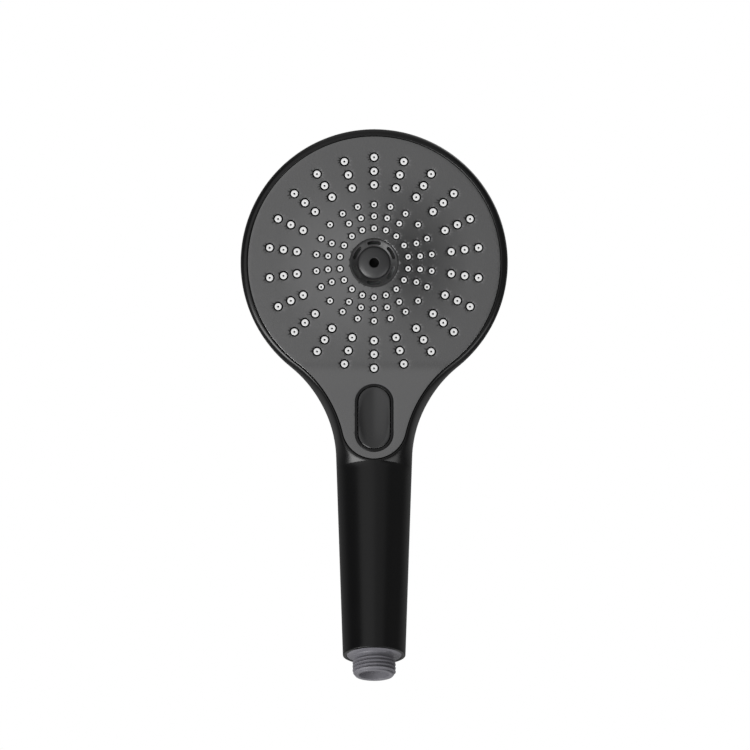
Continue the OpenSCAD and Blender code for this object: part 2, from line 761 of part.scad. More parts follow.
module button_bezel() {
  color([0.1, 0.1, 0.11]) at_button() difference() {
    union() {
      pill(bezel_w, bezel_l, bezel_low, bezel_top);
      pill(bezel_w + 2 * bezel_foot, bezel_l + 2 * bezel_foot, bezel_low, -plate_t - 0.05);
    }
    pill(button_w + 2 * button_gap, button_l + 2 * button_gap, -10, 10);
  }
}
manifold_w = 16;
manifold_y = [-60, -5.5];
manifold_low = -15.5;
drop_y = [-72, -57];
drop_z = [-21.5, -10.6];
duct_floor = -14;
duct_h = 2.4;
module diverter_manifold() {
  color([0.7, 0.7, 0.72]) difference() {
    at_face() {
      translate([-manifold_w / 2, manifold_y[0], manifold_low])
        cube([manifold_w, manifold_y[1] - manifold_y[0], plate_back - 0.02 - manifold_low]);
      translate([-manifold_w / 2, drop_y[0], drop_z[0]])
        cube([manifold_w, drop_y[1] - drop_y[0], drop_z[1] - drop_z[0]]);
    }
    at_button() rod(valve_r + 0.02, -40, -5);
    at_face() for (d = duct_mouths) {
      translate([d[0] - duct_w / 2, -59, duct_floor]) cube([duct_w, d[1] + duct_len + 59, duct_h]);
      translate([d[0] - duct_w / 2, d[1], duct_floor]) cube([duct_w, duct_len, 10]);
      translate([d[0] - duct_w / 2, -66, -20]) cube([duct_w, 8, 20 + duct_floor + duct_h]);
    }
    at_button() for (x = [-duct_x, 0, duct_x])
      translate([x, 0, port_z]) rotate([-90, 0, 0]) cylinder(r = side_port_r, h = 16);
  }
}

// ---- waterway and inlet ---------------------------------------------------------------
tube_top = button_t + tube_stop - 0.1;
tube_low = 16;
low_gland = 20;
module waterway_tube() {
  color([0.8, 0.8, 0.8]) at_handle() tube(tube_r, tube_in_r, tube_low + 0.1, tube_top);
}
module tube_seals() {
  color([0.1, 0.1, 0.1]) at_handle()
    for (t = [low_gland, tube_top - gland_inset]) o_ring(tube_r + gland_wire, gland_wire, t);
}
crest_w = 0.5;
first_crest = 0.45;
crests = 4;
crest_slope = 0.42;
neck_h = 1.6;
flange_t = 2.4;
barrel_r = 11.4;
barrel_len = 14;
collar_r = 13.3;
module inlet_connector() {
  color([0.35, 0.35, 0.37]) at_handle() difference() {
    union() {
      rotate_extrude() polygon(concat(
        [[0, 0], [thread_r - first_crest, 0]],
        [for (n = [0 : crests - 1]) let (t = first_crest + n * thread_pitch) each [
          [thread_r, t], [thread_r, t + crest_w],
          [thread_root_r, t + crest_w + crest_slope], [thread_root_r, t + thread_pitch - crest_slope]
        ]],
        [[thread_root_r, inlet_len - neck_h], [thread_root_r + 0.6, inlet_len], [0, inlet_len]]
      ));
      rod(flange_r, inlet_len, inlet_len + flange_t);
      rod(barrel_r, inlet_len + flange_t - 0.1, inlet_len + barrel_len);
      rod(collar_r, inlet_len + barrel_len - 2, inlet_len + barrel_len);
    }
    rod(inlet_bore_r, -1, limiter_stop);
    rod(tube_in_r, 0, tube_low + 1);
    rod(tube_r + run, tube_low, 40);
    rod(gland_r, low_gland - gland_w / 2, low_gland + gland_w / 2);
  }
}
limiter_stop = 12;
limiter_low = 9;
limiter_holes = 6;
module flow_limiter() {
  color([0.2, 0.4, 0.25]) at_handle() difference() {
    rod(inlet_bore_r - fit, limiter_low, limiter_stop - 0.1);
    for (n = [0 : limiter_holes - 1]) rotate([0, 0, n * 360 / limiter_holes])
      translate([3.9, 0, 0]) rod(0.9, 0, 20);
    tube(inlet_bore_r + 1, inlet_bore_r - 1.1, limiter_low + 1, limiter_low + 2);
  }
}
module limiter_seal() {
  color([0.1, 0.1, 0.1]) at_handle() o_ring(inlet_bore_r - 0.55, 0.45, limiter_low + 1.5);
}
mesh_pitch = 1.7;
mesh_hole = 1;
mesh_reach = 3;
module inlet_filter() {
  color([0.6, 0.6, 0.62]) at_handle() difference() {
    rod(inlet_bore_r - fit, limiter_low - 1.4, limiter_low - 0.1);
    for (x = [-mesh_reach : mesh_reach]) for (y = [-mesh_reach : mesh_reach]) if (norm([x, y]) < 3.3)
      translate([x * mesh_pitch - mesh_hole / 2, y * mesh_pitch - mesh_hole / 2, 0])
        cube([mesh_hole, mesh_hole, 20]);
  }
}

housing();
face_plate();
button_bezel();
outer_nozzle_mat();
inner_nozzle_mat();
jet_ring();
jet_core();
swirl_plate();
turbine_axle();
thrust_washer();
turbine();
spray_plate();
distributor_plate();
diverter_manifold();
engine_screws();
valve_body();
seat_seals();
cartridge_cap();
stem_seal();
detent_ball();
detent_spring();
return_spring();
select_button();
push_stem();
drive_ring();
ratchet_rotor();
diverter_disc();
waterway_tube();
tube_seals();
inlet_connector();
flow_limiter();
limiter_seal();
inlet_filter();
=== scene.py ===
import json
import math

import bmesh
import bpy
import numpy as np
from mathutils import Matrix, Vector
from mathutils.geometry import delaunay_2d_cdt


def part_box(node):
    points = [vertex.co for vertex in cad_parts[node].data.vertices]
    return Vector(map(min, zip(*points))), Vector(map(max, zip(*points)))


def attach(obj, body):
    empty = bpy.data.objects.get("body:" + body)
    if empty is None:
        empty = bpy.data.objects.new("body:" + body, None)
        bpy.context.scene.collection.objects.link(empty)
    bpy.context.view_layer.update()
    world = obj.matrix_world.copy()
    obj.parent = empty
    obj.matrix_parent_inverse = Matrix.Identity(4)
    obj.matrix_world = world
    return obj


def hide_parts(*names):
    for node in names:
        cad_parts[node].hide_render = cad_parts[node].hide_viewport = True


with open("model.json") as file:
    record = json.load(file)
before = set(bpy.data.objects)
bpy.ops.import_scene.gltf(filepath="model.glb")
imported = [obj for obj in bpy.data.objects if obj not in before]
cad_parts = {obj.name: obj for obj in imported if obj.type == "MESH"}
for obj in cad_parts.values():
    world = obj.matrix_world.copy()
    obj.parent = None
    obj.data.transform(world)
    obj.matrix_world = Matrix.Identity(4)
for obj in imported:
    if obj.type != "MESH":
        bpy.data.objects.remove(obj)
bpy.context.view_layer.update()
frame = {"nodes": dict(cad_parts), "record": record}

MM = 0.001
record = frame["record"]
joints = {j["name"]: j for j in record["behaviour"]["joints"]}
mounts = {m["name"]: m for m in record["mounts"]}

# ---- frame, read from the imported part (all lengths in millimetres from here on) ----------


def size_mm(node):
    low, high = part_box(node)
    return [(high[i] - low[i]) / MM for i in range(3)]


inlet_axis = -Vector(mounts["inlet_thread"]["axis"])
face_centre = Vector(joints["turbine_spin"]["pos_m"]) / MM
button_centre = Vector(joints["drive_ring_turn"]["pos_m"]) / MM
handle_tilt = math.atan2(inlet_axis.y, inlet_axis.z)
tilt_sin = math.sin(handle_tilt)
tilt_cos = math.cos(handle_tilt)
face_y = face_centre.y
face_z = face_centre.z
thread_r = mounts["inlet_thread"]["dims"]["r_mm"]
plate_r = size_mm("face_plate")[0] / 2
insert_r = 11.75
core_r = size_mm("jet_core")[0] / 2
button_w = size_mm("select_button")[0]
button_l = 31.4
bezel_w = 18.6
bezel_l = button_l + bezel_w - button_w

# ---- driving dimensions of the outer shell, the same rules as the CAD model --------------
head_r = 65.0
dome_depth = 22.0
head_edge_depth = 3.5
shell_wall = 2.2
rim_wall = 1.6
neck_front = 15.5
handle_depth = 30.6
grip_half_w = 16.59
grip_taper = 0.0348
neck_sweep_r = 58.5
bend_v = -56.0
bend_r = 50.0
plate_t = 2.2
plate_sweep_r = 60.1
plate_end_r = 15.6
plate_end_v = -79.5
crown_h = 1.4
crown_r = 47.0
inlet_len = 10.0

bend_top = bend_v + bend_r * math.tan(handle_tilt / 2)
bend_low = bend_top - bend_r * tilt_sin
rim_v = inlet_len * tilt_cos + neck_front * tilt_sin - face_z
tip_outer_v = -97.0
side_v = -83.0
grip_ref_v = -150.0
edge_start_v = -25.0
edge_run = 60.0
back_run = 80.0


def ramp(t):
    u = min(1.0, max(0.0, t))
    return u * u * (3 - 2 * u)


def mix(a, b, t):
    return a + (b - a) * t


def tilt_at(v):
    if v >= bend_top:
        return 0.0
    if v <= bend_low:
        return handle_tilt
    return math.asin((bend_top - v) / bend_r)


def front_y(v):
    if v >= bend_top:
        return face_y
    if v <= bend_low:
        return (face_z + v) * math.tan(handle_tilt) - neck_front / tilt_cos
    return face_y - bend_r * (1 - math.cos(tilt_at(v)))


def place(x, v, d):
    """A point x to the right, on the front at height v from the face's centre, d deep."""
    a = tilt_at(v)
    return (x, front_y(v) + d * math.cos(a), face_z + v - d * math.sin(a))


# ---- outlines ----------------------------------------------------------------------------
sweep_slope = math.hypot(1, grip_taper)
sweep_q = neck_sweep_r * sweep_slope + grip_half_w - grip_ref_v * grip_taper
sweep_reach = head_r + neck_sweep_r
sweep_a = sweep_slope ** 2
sweep_b = 2 * grip_taper * sweep_q
sweep_c = sweep_q ** 2 - sweep_reach ** 2
sweep_v = (-sweep_b - math.sqrt(sweep_b ** 2 - 4 * sweep_a * sweep_c)) / (2 * sweep_a)
sweep_x = sweep_q + grip_taper * sweep_v
sweep_angle = math.atan2(sweep_x, -sweep_v)
grip_top_v = sweep_v + neck_sweep_r * math.sin(math.atan(grip_taper))


def half_width(v, g=0.0):
    if v >= -(head_r + g) * math.cos(sweep_angle):
        return math.sqrt(max(0.0, (head_r + g) ** 2 - v * v))
    if v >= grip_top_v:
        return sweep_x - math.sqrt((neck_sweep_r - g) ** 2 - (v - sweep_v) ** 2)
    return grip_half_w + g + grip_taper * (v - grip_ref_v)


plate_reach = plate_r + plate_sweep_r
plate_end_reach = plate_end_r + plate_sweep_r
plate_sweep_v = (plate_reach ** 2 - plate_end_reach ** 2 + plate_end_v ** 2) / (2 * plate_end_v)
plate_sweep_x = math.sqrt(plate_reach ** 2 - plate_sweep_v ** 2)
plate_angle = math.atan2(plate_sweep_x, -plate_sweep_v)
plate_turn = math.atan2(plate_end_v - plate_sweep_v, plate_sweep_x)


def edge_depth(v):
    return mix(head_edge_depth, neck_front, ramp((edge_start_v - v) / edge_run))


def grip_share(v):
    return ramp((tip_outer_v - v) / (tip_outer_v - rim_v))


def grip_front(v):
    return (neck_front - half_width(rim_v - neck_front * tilt_sin)) * grip_share(v)


def back_depth(v, r, edge, inset):
    if v >= 0:
        rise_h = head_edge_depth + dome_depth - inset - edge
        return edge + rise_h * math.sqrt(max(0.0, 1 - v * v / (r * r)))
    return mix(head_edge_depth + dome_depth, handle_depth, ramp(-v / back_run)) - inset


# ---- mesh helpers ------------------------------------------------------------------------
def make_object(name, verts, faces, scale=MM, merge=0.0, sharp=None):
    """A mesh object from millimetre points, with shade-smooth faces and an optional sharp angle."""
    mesh = bpy.data.meshes.new(name)
    mesh.from_pydata([tuple(c * scale for c in v) for v in verts], [], faces)
    mesh.validate()
    obj = bpy.data.objects.new(name, mesh)
    bpy.context.collection.objects.link(obj)
    bm = bmesh.new()
    bm.from_mesh(mesh)
    if merge:
        bmesh.ops.remove_doubles(bm, verts=bm.verts, dist=merge * scale)
    bmesh.ops.dissolve_degenerate(bm, edges=bm.edges, dist=1e-7)
    bmesh.ops.recalc_face_normals(bm, faces=bm.faces)
    for f in bm.faces:
        f.smooth = True
    if sharp:
        for e in bm.edges:
            if len(e.link_faces) == 2 and e.calc_face_angle(0) > math.radians(sharp):
                e.smooth = False
    bm.to_mesh(mesh)
    bm.free()
    return obj


def grid_faces(rows, cols, close_rows=False, close_cols=False, start=0):
    """Quads over a grid of rows x cols points."""
    faces = []
    for i in range(rows if close_rows else rows - 1):
        for j in range(cols if close_cols else cols - 1):
            a = start + i * cols + j
            b = start + i * cols + (j + 1) % cols
            c = start + ((i + 1) % rows) * cols + (j + 1) % cols
            d = start + ((i + 1) % rows) * cols + j
            faces.append((a, b, c, d))
    return faces


def lathe(profile, segs, at, closed=True):
    """Points and quads of a profile of (r, z) turned round a local z axis and placed by at(x, y, z)."""
    verts = []
    for r, z in profile:
        for k in range(segs):
            a = 2 * math.pi * k / segs
            verts.append(at(r * math.cos(a), r * math.sin(a), z))
    return verts, grid_faces(len(profile), segs, close_rows=closed, close_cols=True)


def rounded(profile, radius, steps=3):
    """The closed profile with every corner rounded by up to radius, or by a third value given with a point."""
    out = []
    n = len(profile)
    for i, p in enumerate(profile):
        want = p[2] if len(p) > 2 else radius
        a = Vector(profile[i - 1][:2])
        b = Vector(p[:2])
        c = Vector(profile[(i + 1) % n][:2])
        u = a - b
        w = c - b
        if want <= 0 or u.length < 1e-6 or w.length < 1e-6:
            out.append((b.x, b.y))
            continue
        cut = min(want, u.length * 0.45, w.length * 0.45)
        p0 = b + u.normalized() * cut
        p1 = b + w.normalized() * cut
        for s in range(steps + 1):
            t = s / steps
            q = p0 * (1 - t) ** 2 + b * 2 * t * (1 - t) + p1 * t ** 2
            out.append((q.x, q.y))
    return out


def joined(parts):
    """Several (verts, faces) lists as one."""
    verts = []
    faces = []
    for v, f in parts:
        base = len(verts)
        verts += list(v)
        faces += [tuple(i + base for i in face) for face in f]
    return verts, faces


def at_face(x, y, z):
    return (x, face_y - z, face_z + y)


def at_button(x, y, z):
    return (
        x,
        button_centre.y + y * tilt_sin - z * tilt_cos,
        button_centre.z + y * tilt_cos + z * tilt_sin,
    )


def at_handle(x, y, z):
    return (x, y * tilt_cos + z * tilt_sin, -y * tilt_sin + z * tilt_cos)


def circle_loop(cx, cy, r, n):
    return [(cx + r * math.cos(2 * math.pi * k / n), cy + r * math.sin(2 * math.pi * k / n)) for k in range(n)]


def pill_loop(w, l, n):
    """An upright pill outline, w wide and l long, with n points on each round end."""
    r = w / 2
    h = (l - w) / 2
    top = [(r * math.cos(math.pi * k / n), h + r * math.sin(math.pi * k / n)) for k in range(n + 1)]
    low = [(-x, -y) for x, y in top]
    side = max(2, int(2 * h / 0.8))
    left = [(-r, mix(h, -h, k / side)) for k in range(1, side)]
    right = [(r, mix(-h, h, k / side)) for k in range(1, side)]
    return top + left + low + right


def grow(loop, g):
    """A counter-clockwise loop moved outward by g along its corner normals."""
    n = len(loop)
    out = []
    for i in range(n):
        ax, ay = loop[i - 1]
        bx, by = loop[(i + 1) % n]
        tx, ty = bx - ax, by - ay
        t = math.hypot(tx, ty)
        out.append((loop[i][0] + g * ty / t, loop[i][1] - g * tx / t))
    return out


def in_loop(points, loop):
    """Which of the points lie inside the loop, by counting crossings."""
    inside = np.zeros(len(points), bool)
    x = points[:, 0]
    y = points[:, 1]
    for (x0, y0), (x1, y1) in zip(loop, loop[1:] + loop[:1]):
        if y0 == y1:
            continue
        cross = (y0 > y) != (y1 > y)
        inside ^= cross & (x < x0 + (y - y0) * (x1 - x0) / (y1 - y0))
    return inside


def slab(outer, holes, top, bottom, bevel, spacing, at, bevel_steps=3):
    """A closed plate of any outline with holes: a crowned top, round edges and a bottom.

    outer and holes are counter-clockwise loops on the walls. top(x, y) and bottom(x, y) are heights.
    """
    rims = [(outer, -1)] + [(h, 1) for h in holes]
    flat = [grow(loop, side * bevel) for loop, side in rims]
    points = []
    edges = []
    for loop in flat:
        base = len(points)
        points += loop
        edges += [(base + k, base + (k + 1) % len(loop)) for k in range(len(loop))]
    low = np.array(outer).min(axis=0)
    high = np.array(outer).max(axis=0)
    step_y = spacing * math.sqrt(3) / 2
    fill = []
    for j in range(int((high[1] - low[1]) / step_y) + 1):
        for i in range(int((high[0] - low[0]) / spacing) + 2):
            fill.append((low[0] + (i + 0.5 * (j % 2)) * spacing + 0.013, low[1] + (j + 0.5) * step_y))
    fill = np.array(fill)
    keep = in_loop(fill, flat[0])
    for loop in flat[1:]:
        keep &= ~in_loop(fill, loop)
    fill = fill[keep]
    rim = np.array(points)
    near = np.array([np.min(np.sum((rim - p) ** 2, axis=1)) for p in fill]) if len(fill) else np.zeros(0)
    fill = fill[near > (0.55 * spacing) ** 2] if len(fill) else fill
    points += [tuple(p) for p in fill]
    cdt = delaunay_2d_cdt([Vector(p) for p in points], edges, [], 0, 1e-6, True)
    flat_points, tris, sources = cdt[0], cdt[2], cdt[3]
    back = {}
    for new, olds in enumerate(sources):
        for old in olds:
            back[old] = new
    centres = np.array([sum((flat_points[i] for i in t), Vector((0, 0))) / 3 for t in tris])
    keep = in_loop(centres, flat[0])
    for loop in flat[1:]:
        keep &= ~in_loop(centres, loop)
    tris = [tuple(t) for t, k in zip(tris, keep) if k]
    wall = {}
    base = 0
    for (loop, side), rim_loop in zip(rims, flat):
        for k in range(len(rim_loop)):
            wall[back[base + k]] = loop[k]
        base += len(rim_loop)
    count = len(flat_points)
    verts = [at(p.x, p.y, top(p.x, p.y)) for p in flat_points]
    for i, p in enumerate(flat_points):
        x, y = wall.get(i, (p.x, p.y))
        verts.append(at(x, y, bottom(x, y)))
    faces = list(tris) + [tuple(count + i for i in reversed(t)) for t in tris]
    base = 0
    for (loop, side), rim_loop in zip(rims, flat):
        n = len(loop)
        ring = [back[base + k] for k in range(n)]
        base += n
        for s in range(1, bevel_steps + 1):
            a = math.pi / 2 * s / bevel_steps
            nxt = []
            for k in range(n):
                x = mix(rim_loop[k][0], loop[k][0], math.sin(a))
                y = mix(rim_loop[k][1], loop[k][1], math.sin(a))
                nxt.append(len(verts))
                verts.append(at(x, y, top(x, y) - bevel * (1 - math.cos(a))))
            faces += [(ring[k], nxt[k], nxt[(k + 1) % n], ring[(k + 1) % n]) for k in range(n)]
            ring = nxt
        low_ring = [count + back[base - n + k] for k in range(n)]
        faces += [(ring[k], low_ring[k], low_ring[(k + 1) % n], ring[(k + 1) % n]) for k in range(n)]
    used = sorted({i for f in faces for i in f})
    remap = {old: new for new, old in enumerate(used)}
    return [verts[i] for i in used], [tuple(remap[i] for i in f) for f in faces]


def weighted(obj):
    """Flat stretches keep their own normals next to round edges."""
    mod = obj.modifiers.new("normals", "WEIGHTED_NORMAL")
    mod.mode = "FACE_AREA"
    mod.weight = 100
    mod.keep_sharp = True


# ---- housing -----------------------------------------------------------------------------
lip_gap = 0.3
lip_round = 0.35
lip_steps = 4
ledge_w = 1.4
ledge_top = 2.25
ledge_low = 4.3
head_rows = 90
neck_rows = 26
tip_rows = 24
grip_rows = 44
tip_row = head_rows + neck_rows + tip_rows
last_row = tip_row + grip_rows
front_cols = 14
back_cols = 72
rim_round = 0.4
rim_steps = 4


def row_v(i, g):
    if i <= head_rows:
        return (head_r + g) * math.cos(i / head_rows * (math.pi - sweep_angle))
    if i <= head_rows + neck_rows:
        return mix(-(head_r + g) * math.cos(sweep_angle), side_v, (i - head_rows) / neck_rows)
    if i <= tip_row:
        return mix(side_v, tip_outer_v, (i - head_rows - neck_rows) / tip_rows)
    return mix(tip_outer_v, rim_v, (i - tip_row) / grip_rows)


def plate_point(i, g):
    if i <= head_rows:
        a = i / head_rows * (math.pi - plate_angle)
        return ((plate_r + g) * math.sin(a), (plate_r + g) * math.cos(a))
    if i <= head_rows + neck_rows:
        a = mix(math.pi / 2 - plate_angle, plate_turn, (i - head_rows) / neck_rows)
        sweep = plate_sweep_r - g
        return (plate_sweep_x - sweep * math.cos(a), plate_sweep_v + sweep * math.sin(a))
    if i <= tip_row:
        a = mix(plate_turn, math.pi / 2, (i - head_rows - neck_rows) / tip_rows)
        return ((plate_end_r + g) * math.cos(a), plate_end_v - (plate_end_r + g) * math.sin(a))
    return (0.0, row_v(i, 0))


def section(lip, lip_depth, v, half, edge, back):
    """One side's lip, round the widest line and the back, to the other side's lip."""
    points = []
    for j in range(front_cols):
        a = math.pi / 2 * j / front_cols
        s = math.sin(a)
        points.append((mix(lip[0], half, s), mix(lip[1], v, s), mix(edge, lip_depth, math.cos(a))))
    left = [(-x, y, d) for x, y, d in reversed(points)]
    for j in range(back_cols + 1):
        a = math.pi * j / back_cols
        points.append((half * math.cos(a), v, edge + (back - edge) * math.sin(a)))
    return [place(*p) for p in points + left]


def outer_row(i, shrink=0.0):
    v = row_v(i, 0)
    edge = edge_depth(v)
    half = half_width(v - edge * math.sin(tilt_at(v))) - shrink
    open_row = i <= tip_row
    lip = plate_point(i, lip_gap + lip_round) if open_row else (0.0, v)
    depth = 0.0 if open_row else grip_front(v) + shrink
    return section(lip, depth, v, half, edge, back_depth(v, head_r, edge, 0) - shrink)


def inner_row(i):
    v0 = row_v(i, 0)
    w = mix(shell_wall, rim_wall, grip_share(v0))
    v = row_v(i, -w)
    edge = max(edge_depth(v), ledge_low + 0.4)
    half = half_width(v - edge * math.sin(tilt_at(v)), -w)
    open_row = i <= tip_row
    depth = ledge_low if open_row else grip_front(v) + w
    return section(plate_point(i, -ledge_w), depth, v, half, edge, back_depth(v, head_r - w, edge, w))


def lip_chain(i, side):
    """From the rounded outer edge of the lip down its wall to the ledge's inner edge."""
    chain = []
    for s in range(lip_steps - 1, -1, -1):
        a = math.pi / 2 * s / lip_steps
        x, v = plate_point(i, lip_gap + lip_round * (1 - math.cos(a)))
        chain.append(place(side * x, v, lip_round * (1 - math.sin(a))))
    for g, d in ((lip_gap, ledge_top), (-ledge_w, ledge_top)):
        x, v = plate_point(i, g)
        chain.append(place(side * x, v, d))
    return chain


def housing_mesh():
    rows = []
    for i in range(tip_row + 1):
        right = lip_chain(i, 1)
        left = lip_chain(i, -1)
        rows.append(outer_row(i) + left + list(reversed(inner_row(i))) + list(reversed(right)))
    count = len(rows[0])
    parts = [([p for row in rows for p in row], grid_faces(len(rows), count, close_cols=True))]
    outer = [outer_row(i) for i in range(tip_row, last_row)]
    for s in range(rim_steps + 1):
        a = math.pi / 2 * s / rim_steps
        row = outer_row(last_row, rim_round * (1 - math.cos(a)))
        lift = rim_round * (1 - math.sin(a))
        outer.append([(x, y + lift * tilt_sin, z + lift * tilt_cos) for x, y, z in row])
    inner = [inner_row(i) for i in range(tip_row, last_row + 1)]
    rows = outer + list(reversed(inner))
    parts.append(([p for row in rows for p in row], grid_faces(len(rows), len(rows[0]), close_cols=True)))
    return joined(parts)


# ---- face plate and nozzle layout --------------------------------------------------------
big_rings = (37.9, 44.5, 51.3)
small_rings = (16.8, 22.6, 28.3)
spokes = 22
inner_spokes = 18
skipped_spokes = (3, 8, 14, 19)
big_tip_r = 1.67
small_tip_r = 1.3
tip_h = 0.9
orifice_r = 0.42
big_hole_r = big_tip_r + 0.65
small_hole_r = small_tip_r + 0.55
foot_gap = 0.15
mat_t = 1.2
mat_top = -plate_t
mat_low = mat_top - mat_t
plate_bevel = 0.12
plate_spacing = 1.7
insert_gap = 0.15
bezel_gap = 0.05


def ring_spots(r, count, skip=()):
    step = 2 * math.pi / count
    return [(r * math.sin(n * step), r * math.cos(n * step)) for n in range(count) if n not in skip]


big_spots = [p for r in big_rings for p in ring_spots(r, spokes)]
small_spots = (
    ring_spots(small_rings[0], inner_spokes)
    + ring_spots(small_rings[1], spokes, skipped_spokes)
    + ring_spots(small_rings[2], spokes)
)


def crown(x, y):
    return crown_h * max(0.0, 1 - math.hypot(x, y) / crown_r) ** 2


def plate_outline():
    side = []
    for i in range(tip_row + 1):
        side.append(plate_point(i, 0))
    left = [(-x, v) for x, v in side]
    return left + list(reversed(side))[1:-1]


def at_plate(x, v, z):
    return place(x, v, -z)


def button_opening(n):
    """The bezel's outline on the plate, in the plate's own projected coordinates."""
    loop = pill_loop(bezel_w + 2 * bezel_gap, bezel_l + 2 * bezel_gap, n)
    return [(x, button_centre.z - face_z + y * tilt_cos) for x, y in loop]


def face_plate_mesh():
    holes = [circle_loop(x, y, big_hole_r, 40) for x, y in big_spots]
    holes += [circle_loop(x, y, small_hole_r, 36) for x, y in small_spots]
    holes.append(circle_loop(0, 0, insert_r + insert_gap, 120))
    holes.append(button_opening(28))
    return slab(plate_outline(), holes, crown, lambda x, y: -plate_t, plate_bevel, plate_spacing, at_plate)


# ---- nozzles -----------------------------------------------------------------------------
def nozzle(spot, tip_r, foot_r, segs):
    x0, y0 = spot
    lift = face_y - front_y(y0)
    top = crown(x0, y0) + tip_h + lift
    profile = rounded([
        (orifice_r, mat_low), (foot_r, mat_low), (foot_r, mat_top + 0.3), (tip_r + 0.1, mat_top + 0.5),
        (tip_r, top - 0.3), (tip_r, top, 0.3), (orifice_r + 0.2, top, 0.1), (orifice_r, top - 0.25, 0.1)
    ], 0.12)
    return lathe(profile, segs, lambda x, y, z: at_face(x + x0, y + y0, z))


def mat_mesh(r_in, r_out, spots, tip_r, foot_r):
    base = rounded([(r_in, mat_low), (r_out, mat_low), (r_out, mat_top), (r_in, mat_top)], 0.2)
    parts = [lathe(base, 128, at_face)]
    parts += [nozzle(p, tip_r, foot_r, 32) for p in spots]
    return joined(parts)


# ---- centre insert -----------------------------------------------------------------------
insert_low = -4.6
recess = 0.8
ring_in_r = core_r + 0.1
ring_rim = 0.7
ring_flange_r = 13.2
ring_flange_top = mat_top - 0.05
ring_bevel = 0.14
ring_spacing = 0.7
slot_in_r = 9.0
slot_out_r = 10.5
slot_half = math.radians(15)
jet_slots = 6
dome_h = 1.7
dome_steps = 24
jet_hole_r = 2.35
jet_hole_low = -3.4


def ring_top(x, y):
    r = math.hypot(x, y)
    edge = crown(insert_r, 0)
    if r > insert_r - ring_rim:
        return edge
    return mix(-recess, edge, (r - ring_in_r) / (insert_r - ring_rim - ring_in_r))


def slot_loop(n, r0, r1, half_angle):
    """A curved slot with round ends, counter-clockwise, centred on sixth n from the top."""
    mid = math.radians(90 + 60 * n)
    r = (r0 + r1) / 2
    w = (r1 - r0) / 2
    points = []
    for k in range(17):
        a = mid + mix(-half_angle, half_angle, k / 16)
        points.append((r1 * math.cos(a), r1 * math.sin(a)))
    for k in range(1, 8):
        a = mid + half_angle
        b = a + math.pi * k / 8
        points.append((r * math.cos(a) + w * math.cos(b), r * math.sin(a) + w * math.sin(b)))
    for k in range(17):
        a = mid + mix(half_angle, -half_angle, k / 16)
        points.append((r0 * math.cos(a), r0 * math.sin(a)))
    for k in range(1, 8):
        a = mid - half_angle
        b = a + math.pi + math.pi * k / 8
        points.append((r * math.cos(a) + w * math.cos(b), r * math.sin(a) + w * math.sin(b)))
    return points


def jet_ring_mesh():
    holes = [circle_loop(0, 0, ring_in_r, 96)]
    holes += [slot_loop(n, slot_in_r, slot_out_r, slot_half) for n in range(jet_slots)]
    outline = circle_loop(0, 0, insert_r, 128)
    ring = slab(outline, holes, ring_top, lambda x, y: insert_low, ring_bevel, ring_spacing, at_face)
    flange_in_r = insert_r - 0.3
    flange = rounded([
        (flange_in_r, insert_low), (ring_flange_r, insert_low), (ring_flange_r, ring_flange_top),
        (flange_in_r, ring_flange_top)
    ], 0.1)
    return joined([ring, lathe(flange, 128, at_face)])


def jet_core_mesh():
    dome = []
    for k in range(dome_steps + 1):
        a = math.pi / 2 * k / dome_steps
        r = core_r * math.cos(a)
        if r <= jet_hole_r + 0.4:
            break
        dome.append((r, dome_h * math.sin(a) - recess))
    top = dome[-1][1] + 0.05
    round_edge = [(0.27, 0), (0.12, 0.05), (0.03, 0.16), (0, 0.3)]
    profile = [(0, insert_low), (core_r, insert_low)] + dome
    profile += [(jet_hole_r + out, top - down) for out, down in round_edge]
    profile += [(jet_hole_r, jet_hole_low), (0, jet_hole_low)]
    return lathe(profile, 96, at_face, closed=False)


# ---- button and bezel --------------------------------------------------------------------
def pill_rings(profile, w, l, n, at):
    """A profile of (g, z) swept round a pill outline grown by g, as one closed ring."""
    verts = []
    for g, z in profile:
        for x, y in grow(pill_loop(w, l, n), g):
            verts.append(at(x, y, z))
    cols = len(pill_loop(w, l, n))
    return verts, grid_faces(len(profile), cols, close_rows=True, close_cols=True)


button_low = -3.4
button_top = 0.45
button_bevel = 0.35
button_spacing = 0.9
scoop_floor = -1.25
scoop_side_r = 18.5
scoop_long_r = 73.3
bezel_top = 0.42


def scoop(x, y):
    """The button's top: a shallow scoop, curved more across the button than along it."""
    across = scoop_side_r - math.sqrt(scoop_side_r ** 2 - x * x)
    dip = scoop_long_r + scoop_floor - math.sqrt((scoop_long_r - across) ** 2 - y * y)
    return min(button_top, dip)


def button_mesh():
    outline = pill_loop(button_w, button_l, 32)
    return slab(outline, [], scoop, lambda x, y: button_low, button_bevel, button_spacing, at_button, 4)


def bezel_mesh():
    low = -plate_t - 1.2
    wall = (bezel_w - button_w - 0.6) / 2
    foot = 0.6
    step = -plate_t - 0.1
    corners = [(-wall, low), (foot, low), (foot, step), (0, step), (0, bezel_top), (-wall, bezel_top)]
    profile = rounded(corners, 0.22)
    return pill_rings(profile, bezel_w, bezel_l, 36, at_button)


# ---- return spring -----------------------------------------------------------------------
spring_r = 3.7
wire_r = 0.42
lid_top = -11.4
spring_low = lid_top + wire_r + 0.03
spring_high = -2.9
spring_turns = 4
turn_steps = 40
wire_sides = 12


